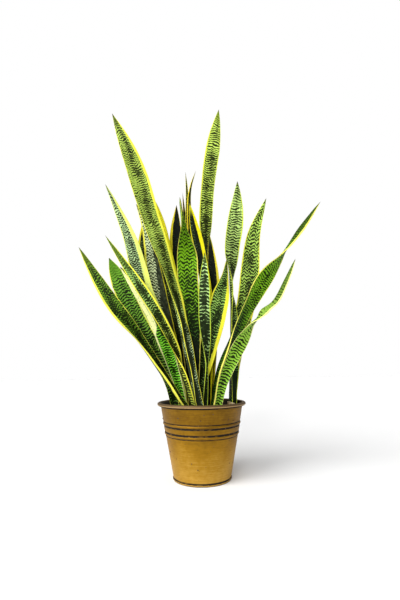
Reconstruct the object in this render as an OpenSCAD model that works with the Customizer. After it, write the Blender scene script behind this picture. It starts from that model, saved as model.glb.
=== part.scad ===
// Snake plant in a round metal pot: a tapered sheet pot with a wired rim,
// potting soil, a creeping rhizome and a cluster of upright sword leaves.
// Z is up, the origin is the middle of the pot's foot, and the front is -Y.

/* [Pot] */
// Height of the pot, from the floor to the top of the rolled rim
pot_h = 157; // [150:1:165]
// Diameter over the rolled rim
rim_d = 180; // [176:1:190]
// Diameter of the wall at the floor
base_d = 117; // [112:1:122]
// Thickness of the sheet metal
sheet_t = 1; // [0.8:0.1:1.2]
// Thickness of the rolled rim, over its wire
rim_roll_d = 7; // [6:0.5:8]

/* [Swaged beads] */
// Height of the upper bead's middle
upper_bead_z = 115; // [112:1:125]
// Height of the lower bead's middle
lower_bead_z = 94.5; // [80:0.5:100]
// How far each bead stands out of the wall
bead_out = 1.6; // [1:0.1:2]
// Half the height of a bead
bead_half = 3; // [2.5:0.5:4]
// Depth of the groove along each side of a bead
groove_in = 0.5; // [0.2:0.1:0.8]
// How far the band between the beads bulges
band_out = 0.7; // [0:0.1:1]

/* [Foot] */
// Height of the hoop crimped round the foot
foot_h = 4.5; // [4:0.5:6]
// Height of the underside of the base plate
plate_z = 6; // [6:0.5:9]

/* [Soil] */
// How far the soil lies under the top of the rim
soil_drop = 10; // [8:1:16]
// How much lower the soil is at the wall than in the middle
soil_fall = 3; // [1:0.5:5]
// How deep the leaves stand in the soil
leaf_bury = 30; // [24:1:34]
// Thickness of the rhizome
rhizome_t = 12; // [8:1:14]

/* [Leaves] */
// Width at the soil over the full width
neck_share = 0.5; // [0.4:0.05:0.55]
// Where along its length a leaf reaches its full width
full_share = 0.42; // [0.35:0.01:0.5]
// Depth of the channel at the foot of a leaf over its half width
cup_foot = 0.8; // [0.6:0.05:0.9]
// Depth of the channel near the tip over the half width
cup_tip = 0.22; // [0.15:0.01:0.3]
// Thickness at the foot over the full width
thick_foot = 0.18; // [0.14:0.01:0.2]
// Thickness near the tip over the full width
thick_tip = 0.1; // [0.08:0.01:0.12]

/* [Hidden] */
$fn = 96;
soil_z = pot_h - soil_drop;
wire_d = rim_roll_d - 2 * sheet_t;
roll_r = (rim_d - rim_roll_d) / 2;
roll_z = pot_h - rim_roll_d / 2;
// the wall leans out evenly from the floor to the middle of the rim roll
wall_top_r = rim_d / 2 - rim_roll_d + sheet_t;
lean = (wall_top_r - base_d / 2) / roll_z;
root_z = soil_z - leaf_bury;
// roots stand closer together at the rhizome than at the surface
root_pull = 0.85;
rings_a_span = 4;

// Each leaf has its name, its full width, the share of its length that tapers
// to the tip, its root [x, y, turn] at the soil, and the points [x, y, z, turn]
// that its middle passes through. A turn of 0 faces the front and 90 is edge on.
LEAVES = [
    ["leaf_left_low", 29, 0.42, [-29, -45, 60],
        [[-75, -50, 220, 78], [-115, -52, 280, 56], [-160, -52, 340, 12],
         [-195, -50, 395, 5], [-232, -46, 460, 0]]],
    ["leaf_left_front", 24, 0.45, [-16, -27, 145],
        [[-35, -28, 212, 122], [-50, -32, 262, 50], [-78, -36, 320, 35],
         [-114, -38, 380, 12], [-184, -36, 486, 0]]],
    ["leaf_left_broad", 37, 0.2, [-55, -1, 20],
        [[-68, -1, 202, 30], [-92, 0, 255, 25], [-119, 0, 302, 10],
         [-146, 0, 360, 0], [-187, 0, 455, 0]]],
    ["leaf_left_inner", 30, 0.25, [-36, -12, 40],
        [[-57, -14, 222, 40], [-87, -16, 318, 10], [-123, -18, 385, 0],
         [-160, -18, 430, 0]]],
    ["leaf_left_tall", 38, 0.55, [-38, 11, 0],
        [[-59, 8, 262, 0], [-108, -5, 365, 0], [-124, -8, 426, 0],
         [-140, -10, 487, 0], [-165, -10, 548, 0], [-190, -10, 601, 0]]],
    ["leaf_left_rear", 38, 0.35, [-42, 22, 0],
        [[-60, 28, 260, 5], [-88, 24, 370, 5], [-101, 20, 480, 0],
         [-113, 18, 530, 0], [-133, 16, 574, 0]]],
    ["leaf_left_far_rear", 28, 0.35, [-38, 36, 0],
        [[-72, 38, 270, 0], [-104, 38, 380, 0], [-123, 37, 480, 0],
         [-112, 34, 578, 0]]],
    ["leaf_high_left", 38, 0.24, [-5, -37, 45],
        [[-18, -35, 221, 62], [-46, -35, 358, 62], [-94, -32, 516, 22],
         [-127, -30, 626, 8], [-169, -30, 728, 0]]],
    ["leaf_high_centre", 30, 0.15, [10, 33, 10],
        [[15, 34, 264, 20], [15, 31, 371, 60], [12, 26, 477, 62],
         [13, 21, 540, 25], [20, 18, 623, 20], [30, 18, 686, 5],
         [44, 18, 772, 0]]],
    ["leaf_mid_left", 32, 0.24, [-20, 5, 0],
        [[-32, 12, 264, 0], [-52, 10, 370, 0], [-73, 10, 465, 0],
         [-91, 10, 545, 0], [-110, 10, 606, 0]]],
    ["leaf_mid_rear", 28, 0.22, [-24, 19, 0],
        [[-42, 21, 296, 0], [-46, 22, 392, 0], [-50, 22, 498, 0],
         [-48, 20, 572, 0]]],
    ["leaf_centre_broad", 42, 0.3, [-15, -15, 0],
        [[-20, -15, 290, 10], [-24, -16, 400, 0], [-26, -15, 460, 25],
         [-33, -12, 525, 78], [-39, -10, 573, 85]]],
    ["leaf_centre_front", 24, 0.3, [6, -22, 30],
        [[9, -27, 221, 78], [10, -30, 262, 52], [8, -32, 320, 15],
         [8, -32, 378, 10], [10, -30, 453, 0]]],
    ["leaf_young_front", 14, 0.4, [-6, 12, 0],
        [[-13, 15, 250, 0], [-16, 9, 370, 10], [-21, 8, 545, 20],
         [-18, 8, 598, 20], [-6, 8, 637, 10]]],
    ["leaf_young_middle", 14, 0.4, [-9, 22, 0],
        [[-20, 24, 260, 0], [-24, 19, 370, 0], [-24, 18, 497, 0],
         [-25, 18, 590, 10], [-28, 18, 641, 20]]],
    ["leaf_young_rear", 14, 0.4, [-21, 31, 0],
        [[-29, 30, 370, 0], [-29, 28, 500, 0], [-35, 26, 602, 0]]],
    ["leaf_centre_rear", 22, 0.2, [15, 8, 0],
        [[18, 10, 262, 0], [15, 2, 365, 0], [1, 0, 462, 0],
         [-10, 0, 514, 0], [-20, 0, 566, 0]]],
    ["leaf_right_rear", 24, 0.3, [20, 21, 0],
        [[23, 21, 260, 0], [28, 12, 380, 0], [27, 12, 430, 0],
         [20, 12, 510, 0]]],
    ["leaf_right_inner", 38, 0.3, [0, 0, 30],
        [[-2, 3, 195, 20], [13, -3, 262, 5], [28, -7, 312, 5],
         [39, -8, 362, 10], [50, -7, 408, 45], [55, -6, 447, 60]]],
    ["leaf_right_upright", 34, 0.22, [66, 10, 50],
        [[69, 12, 235, 45], [69, 13, 347, 70], [66, 14, 410, 80],
         [67, 14, 470, 25], [75, 14, 526, 0], [80, 14, 578, 5],
         [81, 13, 617, 10]]],
    ["leaf_right_tall", 40, 0.39, [65, 29, 60],
        [[71, 35, 225, 50], [84, 36, 305, 15], [100, 32, 372, 0],
         [108, 32, 436, 0], [117, 30, 512, 0], [144, 26, 588, 0]]],
    ["leaf_right_long", 34, 0.35, [24, -9, 75],
        [[38, -16, 221, 80], [64, -22, 281, 60], [93, -22, 341, 40],
         [128, -18, 401, 22], [162, -14, 443, 62], [180, -12, 468, 100],
         [204, -10, 503, 130], [247, -8, 561, 140]]],
    ["leaf_right_front", 28, 0.35, [31, -40, 5],
        [[43, -44, 200, 5], [69, -46, 259, 10], [95, -46, 302, 60],
         [110, -46, 317, 92], [123, -46, 334, 128], [146, -45, 354, 116],
         [170, -43, 401, 118], [185, -41, 434, 125]]],
];

POT_NODES = ["pot_wall", "rim_wire", "wall_seam", "base_plate", "foot_hoop"];
PLANT_NODES = ["soil", "rhizome", "dry_sheath"];

// ---- curves shared by the leaves

function lerp(a, b, t) = a + (b - a) * t;
function ease(t) = t * t * (3 - 2 * t);
function clamp(t) = max(0, min(1, t));
function unit(v) = v / norm(v);
function place(p) = [p[0], p[1], p[2]];

// slope of a smooth curve through points p, at point i
function slope(p, i) =
    i == 0 ? p[1] - p[0]
    : i == len(p) - 1 ? p[i] - p[i - 1]
    : (p[i + 1] - p[i - 1]) / 2;

// point at step s on the smooth curve through p, a whole step for each span
function along(p, s) =
    let (i = min(floor(s), len(p) - 2), t = s - i, u = 1 - t)
    p[i] * u * u * (1 + 2 * t) + slope(p, i) * t * u * u
    + p[i + 1] * t * t * (1 + 2 * u) - slope(p, i + 1) * t * t * u;

// length of the straight legs through p, up to point i
function run(p, i) = i == 0 ? 0 : run(p, i - 1) + norm(place(p[i] - p[i - 1]));

function share(p, s) =
    let (i = min(floor(s), len(p) - 2))
    lerp(run(p, i), run(p, i + 1), s - i) / run(p, len(p) - 1);

// ---- leaves

function leaf_points(leaf) =
    concat([[leaf[3][0], leaf[3][1], soil_z, leaf[3][2]]], leaf[4]);

function half_width(leaf, t) =
    leaf[1] / 2 * lerp(neck_share, 1, ease(clamp(t / full_share)))
    * pow(sin(90 * clamp((1 - t) / leaf[2])), 0.9);

// one ring of eight points, a channelled lens open to the leaf's front
function ring(middle, heading, turn, half, cup, thick) =
    let (flat = [cos(turn), sin(turn), 0],
         side = unit(flat - heading * (flat * heading)),
         front = cross(side, heading))
    [for (q = [[-1, 0], [-0.5, 1], [0, 1], [0.5, 1], [1, 0],
               [0.5, -1], [0, -1], [-0.5, -1]])
        middle + side * half * q[0]
        + front * (cup * half * (q[0] * q[0] - 0.45)
                   + q[1] * thick / 2 * (1 - q[0] * q[0]))];

function leaf_ring(leaf, p, s) =
    let (t = share(p, s), half = half_width(leaf, t), here = along(p, s),
         heading = unit(place(along(p, s + 0.02) - along(p, max(0, s - 0.02)))),
         thick = leaf[1] * lerp(thick_foot, thick_tip, ease(t)))
    ring(place(here), heading, here[3], half,
         lerp(cup_foot, cup_tip, ease(clamp(t / 0.6))), min(thick, half));

// the root end, flat and level on the rhizome
function root_ring(leaf) =
    let (half = half_width(leaf, 0))
    ring([leaf[3][0] * root_pull, leaf[3][1] * root_pull, root_z], [0, 0, 1],
         leaf[3][2], half, cup_foot, leaf[1] * thick_foot);

// skin of triangles over rings of m points, open at the top unless it has a tip
function skin(m, rings, tip) = concat(
    [[for (j = [0 : m - 1]) j]],
    [for (i = [0 : rings - 2], j = [0 : m - 1], half = [0, 1])
        let (a = i * m + j, b = i * m + (j + 1) % m, c = a + m, d = b + m)
        half == 0 ? [a, c, d] : [a, d, b]],
    tip ? [for (j = [0 : m - 1])
              [(rings - 1) * m + j, rings * m, (rings - 1) * m + (j + 1) % m]]
        : [[for (j = [m - 1 : -1 : 0]) (rings - 1) * m + j]]);

module leaf_blade(leaf) {
    p = leaf_points(leaf);
    steps = (len(p) - 1) * rings_a_span;
    rings = [for (i = [0 : steps - 1]) leaf_ring(leaf, p, i / rings_a_span)];
    points = concat(root_ring(leaf), [for (r = rings, v = r) v],
                    [place(p[len(p) - 1])]);
    color("olivedrab") polyhedron(points, skin(8, steps + 1, true));
}

// The buried foot of a leaf, which is also its pocket in the soil. The lens is
// cut into four convex strips, each between front points and those behind.
module leaf_foot(leaf) {
    low = root_ring(leaf);
    high = leaf_ring(leaf, leaf_points(leaf), 0);
    for (strip = [[0, 1, 7], [7, 1, 2, 6], [6, 2, 3, 5], [5, 3, 4]])
        hull() polyhedron(
            concat([for (k = strip) low[k]], [for (k = strip) high[k]]),
            skin(len(strip), 2, false));
}

// ---- pot

// outer radius of the wall at height z, with its beads, grooves and band
function wall_r(z) =
    base_d / 2 + lean * z
    + bead(z - upper_bead_z) + bead(z - lower_bead_z)
    + (z > lower_bead_z && z < upper_bead_z
        ? band_out * sin(180 * (z - lower_bead_z) / (upper_bead_z - lower_bead_z))
        : 0);

// a half-round bead with a narrow groove along each side
function bead(d) =
    abs(d) < bead_half ? bead_out * cos(90 * d / bead_half)
    : abs(d) < bead_half + 1.5
        ? -groove_in * sin(180 * (abs(d) - bead_half) / 1.5)
    : 0;

// heights at which the wall's outline has a point, close together on the beads
wall_low = lower_bead_z - bead_half - 3;
wall_high = upper_bead_z + bead_half + 3;
function wall_heights(from, to) = concat(
    [from], [for (z = [wall_low : 0.75 : wall_high]) z], [to]);

module pot_wall() {
    heights = wall_heights(1, roll_z);
    n = len(heights);
    color("darkgoldenrod") rotate_extrude() {
        polygon(concat(
            [for (z = heights) [wall_r(z), z]],
            [for (i = [1 : n]) [wall_r(heights[n - i]) - sheet_t, heights[n - i]]]));
        translate([roll_r, roll_z]) difference() {
            circle(d = rim_roll_d, $fn = 40);
            circle(d = wire_d, $fn = 40);
            // the rolled edge stops short of the wall
            rotate(215) translate([0, -0.8]) square([rim_roll_d, 1.6]);
        }
    }
}

module rim_wire() {
    color("gray") rotate_extrude()
        translate([roll_r, roll_z]) circle(d = wire_d, $fn = 40);
}

// the wall's lapped seam, a strip that follows the wall at the back
module wall_seam() {
    seam_t = 0.6;
    heights = wall_heights(foot_h + 1, roll_z - rim_roll_d / 2 - 1);
    n = len(heights);
    color("goldenrod") rotate(86) rotate_extrude(angle = 8)
        polygon(concat(
            [for (z = heights) [wall_r(z) + seam_t, z]],
            [for (i = [1 : n]) [wall_r(heights[n - i]), heights[n - i]]]));
}

// the base plate, with a flange turned down inside the wall
module base_plate() {
    inner = function (z) base_d / 2 + lean * z - sheet_t;
    color("gray") rotate_extrude() polygon([
        [0, plate_z], [0, plate_z + sheet_t],
        [inner(plate_z + sheet_t), plate_z + sheet_t], [inner(1), 1],
        [inner(1) - sheet_t, 1], [inner(plate_z) - sheet_t, plate_z]]);
}

// a channel crimped over the edges of the wall and of the base plate
module foot_hoop() {
    outer = function (z) base_d / 2 + lean * z;
    inner = function (z) outer(z) - 2 * sheet_t;
    color("goldenrod") rotate_extrude() polygon([
        [inner(0) - sheet_t, 0], [outer(0) + sheet_t, 0],
        [outer(foot_h) + sheet_t, foot_h], [outer(foot_h), foot_h],
        [outer(1), 1], [inner(1), 1],
        [inner(foot_h), foot_h], [inner(foot_h) - sheet_t, foot_h]]);
}

// ---- soil and what grows in it

// the soil is an even cone, which meets the wall at the bottom of the grooves
module soil() {
    edge_z = soil_z - soil_fall;
    low_z = plate_z + sheet_t;
    reach = function (z) base_d / 2 + lean * z - sheet_t - groove_in;
    color("saddlebrown") difference() {
        rotate_extrude() polygon([
            [0, low_z], [reach(low_z), low_z], [reach(edge_z), edge_z],
            [0, soil_z]]);
        rhizome_shape();
        for (leaf = LEAVES) leaf_foot(leaf);
    }
}

// the roots are joined in the order of the leaf list, one creeping stem
module rhizome_shape() {
    spots = [for (leaf = LEAVES) [leaf[3][0], leaf[3][1]] * root_pull];
    translate([0, 0, root_z - rhizome_t]) linear_extrude(rhizome_t) {
        for (spot = spots) translate(spot) circle(d = 15, $fn = 32);
        for (i = [1 : len(spots) - 1]) {
            leg = spots[i] - spots[i - 1];
            translate(spots[i - 1]) rotate(atan2(leg.y, leg.x))
                translate([0, -4]) square([norm(leg), 8]);
        }
    }
}

module rhizome() {
    color("peru") rhizome_shape();
}

// a dry papery sheath round the front of the upright right-hand leaf
module dry_sheath() {
    spot = [65, 9, soil_z - 2];
    color("wheat") difference() {
        translate(spot) rotate(185) rotate_extrude(angle = 105)
            translate([10.6, 0]) square([0.8, 18]);
        translate(spot + [0, 0, 11]) rotate([0, -16, 0])
            translate([-20, -20, 0]) cube(40);
    }
}

pot_wall();
rim_wire();
wall_seam();
base_plate();
foot_hoop();
soil();
rhizome();
dry_sheath();
for (leaf = LEAVES) leaf_blade(leaf);
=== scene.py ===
"""A snake plant in an antique gold metal pot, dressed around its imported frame.

The leaves are read from the frame's own leaf solids, ring by ring, and rebuilt
as fine channelled blades. Everything is in metres, Z up, with the front at -Y;
fields and notes that say so are in millimetres.
"""

import logging
import math
from dataclasses import dataclass, field
from enum import Enum
from typing import Any, Callable

import bmesh
import bpy
import numpy as np
from mathutils import Matrix, Vector


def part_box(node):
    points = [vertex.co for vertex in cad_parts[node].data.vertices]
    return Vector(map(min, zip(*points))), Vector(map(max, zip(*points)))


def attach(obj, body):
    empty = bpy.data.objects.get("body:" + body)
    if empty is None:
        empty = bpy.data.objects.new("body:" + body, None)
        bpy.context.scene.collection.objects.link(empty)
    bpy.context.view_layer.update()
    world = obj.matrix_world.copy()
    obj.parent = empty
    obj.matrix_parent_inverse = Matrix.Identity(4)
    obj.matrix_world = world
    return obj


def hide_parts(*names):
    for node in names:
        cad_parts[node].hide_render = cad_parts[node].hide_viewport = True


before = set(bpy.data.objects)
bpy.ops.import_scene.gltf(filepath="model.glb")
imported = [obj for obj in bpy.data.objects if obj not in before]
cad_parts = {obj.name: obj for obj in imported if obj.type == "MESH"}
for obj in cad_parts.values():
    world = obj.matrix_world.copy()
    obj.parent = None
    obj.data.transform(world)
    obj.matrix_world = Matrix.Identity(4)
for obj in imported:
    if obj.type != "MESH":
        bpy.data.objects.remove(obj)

MM = 0.001
TURN = 2 * math.pi
LOG = logging.getLogger("snake_plant")

Colour = tuple[float, float, float]
Point = tuple[float, float, float]
Outline = list[tuple[float, float]]


class Slot(Enum):
    """The record's material slots, by name; the pieces built here don't use them."""

    GOLD = "gold_paint"
    SOIL = "soil"
    SHEATH = "dry_sheath"
    LEAF = "leaf"


def tint(red: float, green: float, blue: float) -> Colour:
    """Turns a colour as seen on a display, 0 to 255, into linear light.

    Args:
        red: Red as displayed.
        green: Green as displayed.
        blue: Blue as displayed.

    Returns:
        The linear colour.
    """
    parts = [c / 255 for c in (red, green, blue)]
    return tuple(
        c / 12.92 if c <= 0.04045 else ((c + 0.055) / 1.055) ** 2.4 for c in parts
    )


def dimmed(colour: Colour, share: float, lift: float = 0.0) -> Colour:
    """A colour at a share of its strength, lifted by an even grey."""
    return tuple(min(1.0, c * share + lift) for c in colour)


# ---------------------------------------------------------------- node maths


@dataclass(frozen=True)
class Signal:
    """One output socket in a node tree, with arithmetic that adds Math nodes."""

    bench: "Bench"
    socket: bpy.types.NodeSocket

    def of(self, name: str) -> "Signal":
        """Another output of the same node, by name."""
        return Signal(self.bench, self.socket.node.outputs[name])

    def math(self, operation: str, *others: Any, first: bool = True) -> "Signal":
        """Adds a Math node.

        Args:
            operation: The Math node's operation.
            others: The other operands, signals or numbers.
            first: Whether this signal is the first operand.

        Returns:
            The node's value.
        """
        operands = (self, *others) if first else (*others, self)
        return self.bench.add(
            "ShaderNodeMath", {"operation": operation}, dict(enumerate(operands))
        )

    def __add__(self, other: Any) -> "Signal":
        """Sum."""
        return self.math("ADD", other)

    __radd__ = __add__

    def __mul__(self, other: Any) -> "Signal":
        """Product."""
        return self.math("MULTIPLY", other)

    __rmul__ = __mul__

    def __sub__(self, other: Any) -> "Signal":
        """Difference."""
        return self.math("SUBTRACT", other)

    def __rsub__(self, other: Any) -> "Signal":
        """Difference from a number."""
        return self.math("SUBTRACT", other, first=False)

    def __truediv__(self, other: Any) -> "Signal":
        """Quotient."""
        return self.math("DIVIDE", other)

    def __abs__(self) -> "Signal":
        """Size without its sign."""
        return self.math("ABSOLUTE")


@dataclass(frozen=True)
class Bench:
    """A node tree that nodes are added to."""

    tree: bpy.types.NodeTree

    def add(
        self,
        kind: str,
        settings: dict[str, Any] | None = None,
        inputs: dict[Any, Any] | None = None,
        out: Any = 0,
    ) -> Signal | None:
        """Adds a node of any type.

        Args:
            kind: The node's type.
            settings: Its settings, set before its sockets.
            inputs: Values or signals of its sockets, by name or number.
            out: The output that is returned.

        Returns:
            The output's signal, or None from a node that has no output.
        """
        node = self.tree.nodes.new(kind)
        for name, value in (settings or {}).items():
            setattr(node, name, value)
        for key, value in (inputs or {}).items():
            self.put(node.inputs[key], value)
        return Signal(self, node.outputs[out]) if node.outputs else None

    def put(self, socket: bpy.types.NodeSocket, value: Any) -> None:
        """Gives a socket a link or a value."""
        if isinstance(value, Signal):
            self.tree.links.new(value.socket, socket)
        else:
            is_colour = socket.type == "RGBA" and len(value) == 3
            socket.default_value = (*value, 1.0) if is_colour else value

    def vector(self, x: Any, y: Any, z: Any) -> Signal:
        """Joins three values into a vector."""
        return self.add("ShaderNodeCombineXYZ", inputs={0: x, 1: y, 2: z})

    def vectors(self, operation: str, inputs: dict[Any, Any]) -> Signal:
        """Adds a Vector Math node."""
        return self.add("ShaderNodeVectorMath", {"operation": operation}, inputs)

    def scaled(self, vector: Signal, size: Any) -> Signal:
        """A vector times a number."""
        return self.vectors("SCALE", {0: vector, "Scale": size})

    def noise(
        self, place: Signal, scale: float = 1.0, detail: float = 2.0, out: Any = 0
    ) -> Signal:
        """Smooth noise from 0 to 1 at a place."""
        return self.add(
            "ShaderNodeTexNoise",
            {"noise_dimensions": "3D"},
            {"Vector": place, "Scale": scale, "Detail": detail},
            out,
        )

    def rise(self, value: Signal, low: Any, high: Any) -> Signal:
        """A smooth step from 0 at low to 1 at high."""
        return self.add(
            "ShaderNodeMapRange",
            {"interpolation_type": "SMOOTHSTEP"},
            {"Value": value, "From Min": low, "From Max": high},
        )

    def fall(self, value: Signal, low: Any, high: Any) -> Signal:
        """A smooth step from 1 at low to 0 at high."""
        return 1 - self.rise(value, low, high)

    def blend(self, share: Any, first: Any, second: Any) -> Signal:
        """Mixes two colours: the first at 0, the second at 1."""
        return self.add(
            "ShaderNodeMix", {"data_type": "RGBA"}, {0: share, 6: first, 7: second}, 2
        )

    def attribute(self, name: str) -> Signal:
        """A number stored on the mesh."""
        return self.add("ShaderNodeAttribute", {"attribute_name": name}, out="Fac")

    def place(self) -> tuple[Signal, Signal]:
        """The place on the object in millimetres, and its height alone."""
        scaled = self.scaled(self.add("ShaderNodeTexCoord", out="Object"), 1 / MM)
        height = self.add("ShaderNodeSeparateXYZ", inputs={0: scaled}, out="Z")
        return scaled, height

    def drawn(self, place: Signal, scale: Point) -> Signal:
        """A place stretched by a scale on each axis."""
        return self.add("ShaderNodeMapping", inputs={"Vector": place, "Scale": scale})

    def bump(self, height: Signal, depth: float, strength: float) -> Signal:
        """A normal roughened by a height field, depth in metres."""
        return self.add(
            "ShaderNodeBump",
            inputs={"Height": height, "Distance": depth, "Strength": strength},
        )

    def surface(self, sockets: dict[str, Any]) -> None:
        """Closes a material with a Principled shader.

        Args:
            sockets: Values and signals of the shader's sockets.
        """
        shader = self.add("ShaderNodeBsdfPrincipled", inputs=sockets)
        self.add("ShaderNodeOutputMaterial", inputs={"Surface": shader})


def new_material(name: str, preview: Colour) -> tuple[bpy.types.Material, Bench]:
    """Starts an empty node material.

    Args:
        name: The material's name.
        preview: Its plain colour in the viewport.

    Returns:
        The material and the bench of its node tree.
    """
    material = bpy.data.materials.new(name)
    material.use_nodes = True
    material.diffuse_color = (*preview, 1.0)
    material.node_tree.nodes.clear()
    return material, Bench(material.node_tree)


# ------------------------------------------------------------------ finishes


@dataclass(frozen=True)
class LeafPlace:
    """Where a spot lies on a leaf, with noise drawn from it. Lengths are in mm."""

    bench: Bench
    across: Signal
    along: Signal
    to_tip: Signal
    side: Signal
    seed: float

    @classmethod
    def on(cls, bench: Bench, seen: float, seed: float) -> "LeafPlace":
        """Reads the leaf's own attributes.

        Args:
            bench: The material's bench.
            seen: Share of the leaf's width that shows from the front.
            seed: Shift of the noise, so that each leaf has its own.

        Returns:
            The place; across runs from -1 to 1 and side is the same in mm.
        """
        across = bench.attribute("across")
        along, half, to_tip = (
            bench.attribute(name) * (1 / MM) for name in ("along", "half", "to_tip")
        )
        return cls(bench, across, along, to_tip, across * half * seen, seed)

    def grain(self, fx: float, fy: float, salt: float, detail: float = 2.0) -> Signal:
        """Noise stretched by its frequencies per millimetre."""
        spot = self.bench.vector(self.side * fx, self.along * fy, self.seed + salt)
        return self.bench.noise(spot, 1.0, detail)


@dataclass(frozen=True)
class LeafFinish:
    """The colouring of one leaf. Widths are shares of its half width.

    Lengths are in millimetres along the leaf. The far margins belong to the part
    closer to the tip than far_run, where a twisted leaf shows its other side.

    Attributes:
        light: Ground between the bands; near is the ground close to the foot.
        margin: The yellow margins; end is the ground close to the tip.
        left, right: Widths of the margins.
        cover: How much of the ground the bands cover.
        core, core_at: Strength and place of a denser ribbon along the leaf.
        low_dark, low_run: How much denser the bands grow towards the foot.
        gloom, gloom_run: How much the foot lies in its neighbours' shadow.
        pitch: Distance between bands; zig and zag are their slope and spacing.
        seen: Share of the width that shows from the front, for a leaf that
            stands sideways, whose pattern is coarser across.
        end_run: Length of the darker tip.
        streaky: How streaked the margins are.
        seed: Gives each leaf its own pattern and ripple.
    """

    light: Colour = tint(150, 176, 84)
    near: Colour | None = None
    margin: Colour = tint(246, 240, 84)
    end: Colour = tint(74, 88, 26)
    left: float = 0.16
    right: float = 0.16
    far_left: float | None = None
    far_right: float | None = None
    far_run: float = 0.0
    cover: float = 0.5
    core: float = 0.25
    core_at: float = 0.05
    # low_dark, low_run: How much denser the bands grow towards the foot, painted as shade
    # near the pot.
    low_dark: float = 0.3
    low_run: float = 420.0
    gloom: float = 0.4
    gloom_run: float = 330.0
    pitch: float = 5.2
    zig: float = 0.9
    zag: float = 4.4
    seen: float = 1.0
    end_run: float = 26.0
    streaky: float = 0.5
    seed: int = 1
    dark: Colour = tint(6, 12, 3)
    shadow: Colour = tint(4, 8, 3)
    rim_brown: Colour = tint(120, 92, 30)
    margin_foot_shade: Colour = tint(90, 70, 6)
    # painted shade on the margins towards the foot
    speck: Colour = tint(90, 84, 40)
    dry_point: Colour = tint(60, 46, 24)

    def bands(self, place: LeafPlace, low: Signal) -> Signal:
        """Dark cross bands that zigzag over the leaf.

        Args:
            place: The place on the leaf.
            low: How near the place is to the foot.

        Returns:
            1 on a band and 0 between bands.
        """
        bend = place.grain(0.06, 0.02, 1) - 0.5
        steep = 0.35 + place.grain(0.05, 0.03, 14) * 1.3
        chevron = (place.side + bend * 22).math("PINGPONG", self.zag) * steep * self.zig
        phase = (place.along + chevron + place.grain(0.12, 0.06, 2) * 11) / self.pitch
        wave = (phase * TURN).math("SINE") * 0.5 + 0.5
        dashes = place.grain(0.3, 0.6, 3, 3) - 0.5
        blotch = place.grain(0.06, 0.03, 4) - 0.5
        ribbon = place.bench.fall(abs(place.across - self.core_at + bend * 0.7), 0.06, 0.55)
        level = (
            wave * 0.85
            + 0.08
            + dashes * 1.25
            + blotch * 1.3
            + (ribbon - 0.3) * self.core
            + low * self.low_dark
        )
        return place.bench.rise(level, 0.93 - self.cover, 1.07 - self.cover)

    def ground(self, place: LeafPlace, fibre: Signal) -> Signal:
        """The pale green between the bands, with fibres along the leaf."""
        bench, light = place.bench, self.light
        deeper, paler = dimmed(light, 0.66), dimmed(light, 1.5, 0.02)
        colour = bench.blend(bench.rise(fibre, 0.3, 0.7), deeper, paler)
        cool = bench.rise(place.grain(0.04, 0.012, 6), 0.35, 0.7)
        colour = bench.blend(cool * 0.5, colour, dimmed(light, 0.75))
        if self.near:
            colour = bench.blend(bench.fall(place.along, 120, 270), colour, self.near)
        return colour

    def body(self, place: LeafPlace, bands: Signal, low: Signal, fibre: Signal) -> Signal:
        """The leaf's colour between its margins."""
        bench = place.bench
        # the bands lose their mossy tone towards the foot, painted as shade
        mossy = bench.rise(place.grain(0.2, 0.1, 7), 0.4, 0.8) * (1 - low * 0.9)
        black = bench.blend(mossy, self.dark, dimmed(self.light, 0.13, 0.001))
        return bench.blend(bands * 0.97, self.ground(place, fibre), black)

    def edging(self, place: LeafPlace) -> Signal:
        """1 on the yellow margins and 0 between them."""
        bench = place.bench
        ragged = (place.grain(0.9, 0.03, 8) - 0.5) * 0.12
        ragged = ragged + (place.grain(0.1, 0.09, 9) - 0.5) * 0.12
        drift = place.grain(0.004, 0.009, 10) * 0.8 + 0.6
        past = bench.fall(place.to_tip, self.far_run - 12, self.far_run + 12)

        def strip(near: float, beyond: float | None, inward: Signal) -> Signal:
            """One margin, whose width may change past the twist."""
            width = near if beyond is None else near + past * (beyond - near)
            return bench.rise(drift * width + ragged + inward - 1, -0.03, 0.03)

        left = strip(self.left, self.far_left, 0 - place.across)
        right = strip(self.right, self.far_right, place.across)
        return left.math("MAXIMUM", right)

    def yellow(self, place: LeafPlace, gloom: Signal) -> Signal:
        """The margins' colour, with faded and green streaks, a brown rim and painted shade
        towards the foot.
        """
        bench = place.bench
        streaks = bench.rise(place.grain(1.1, 0.012, 11), 0.6, 0.72)
        faded = dimmed(self.margin, 0.66, 0.02)
        colour = bench.blend(streaks * (0.5 + 0.5 * self.streaky), self.margin, faded)
        green = bench.rise(place.grain(0.9, 0.02, 16, 3), 0.62 - 0.12 * self.streaky, 0.66)
        colour = bench.blend(green * self.streaky * 0.7, colour, self.light)
        flecks = bench.rise(place.grain(0.7, 0.25, 15, 3), 0.6, 0.68) * self.streaky
        colour = bench.blend(flecks, colour, self.light)
        rim = bench.rise(abs(place.across), 0.955, 1.0)
        colour = bench.blend(rim * 0.35, colour, self.rim_brown)
        return bench.blend(gloom * self.gloom * 0.4, colour, self.margin_foot_shade)

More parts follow.
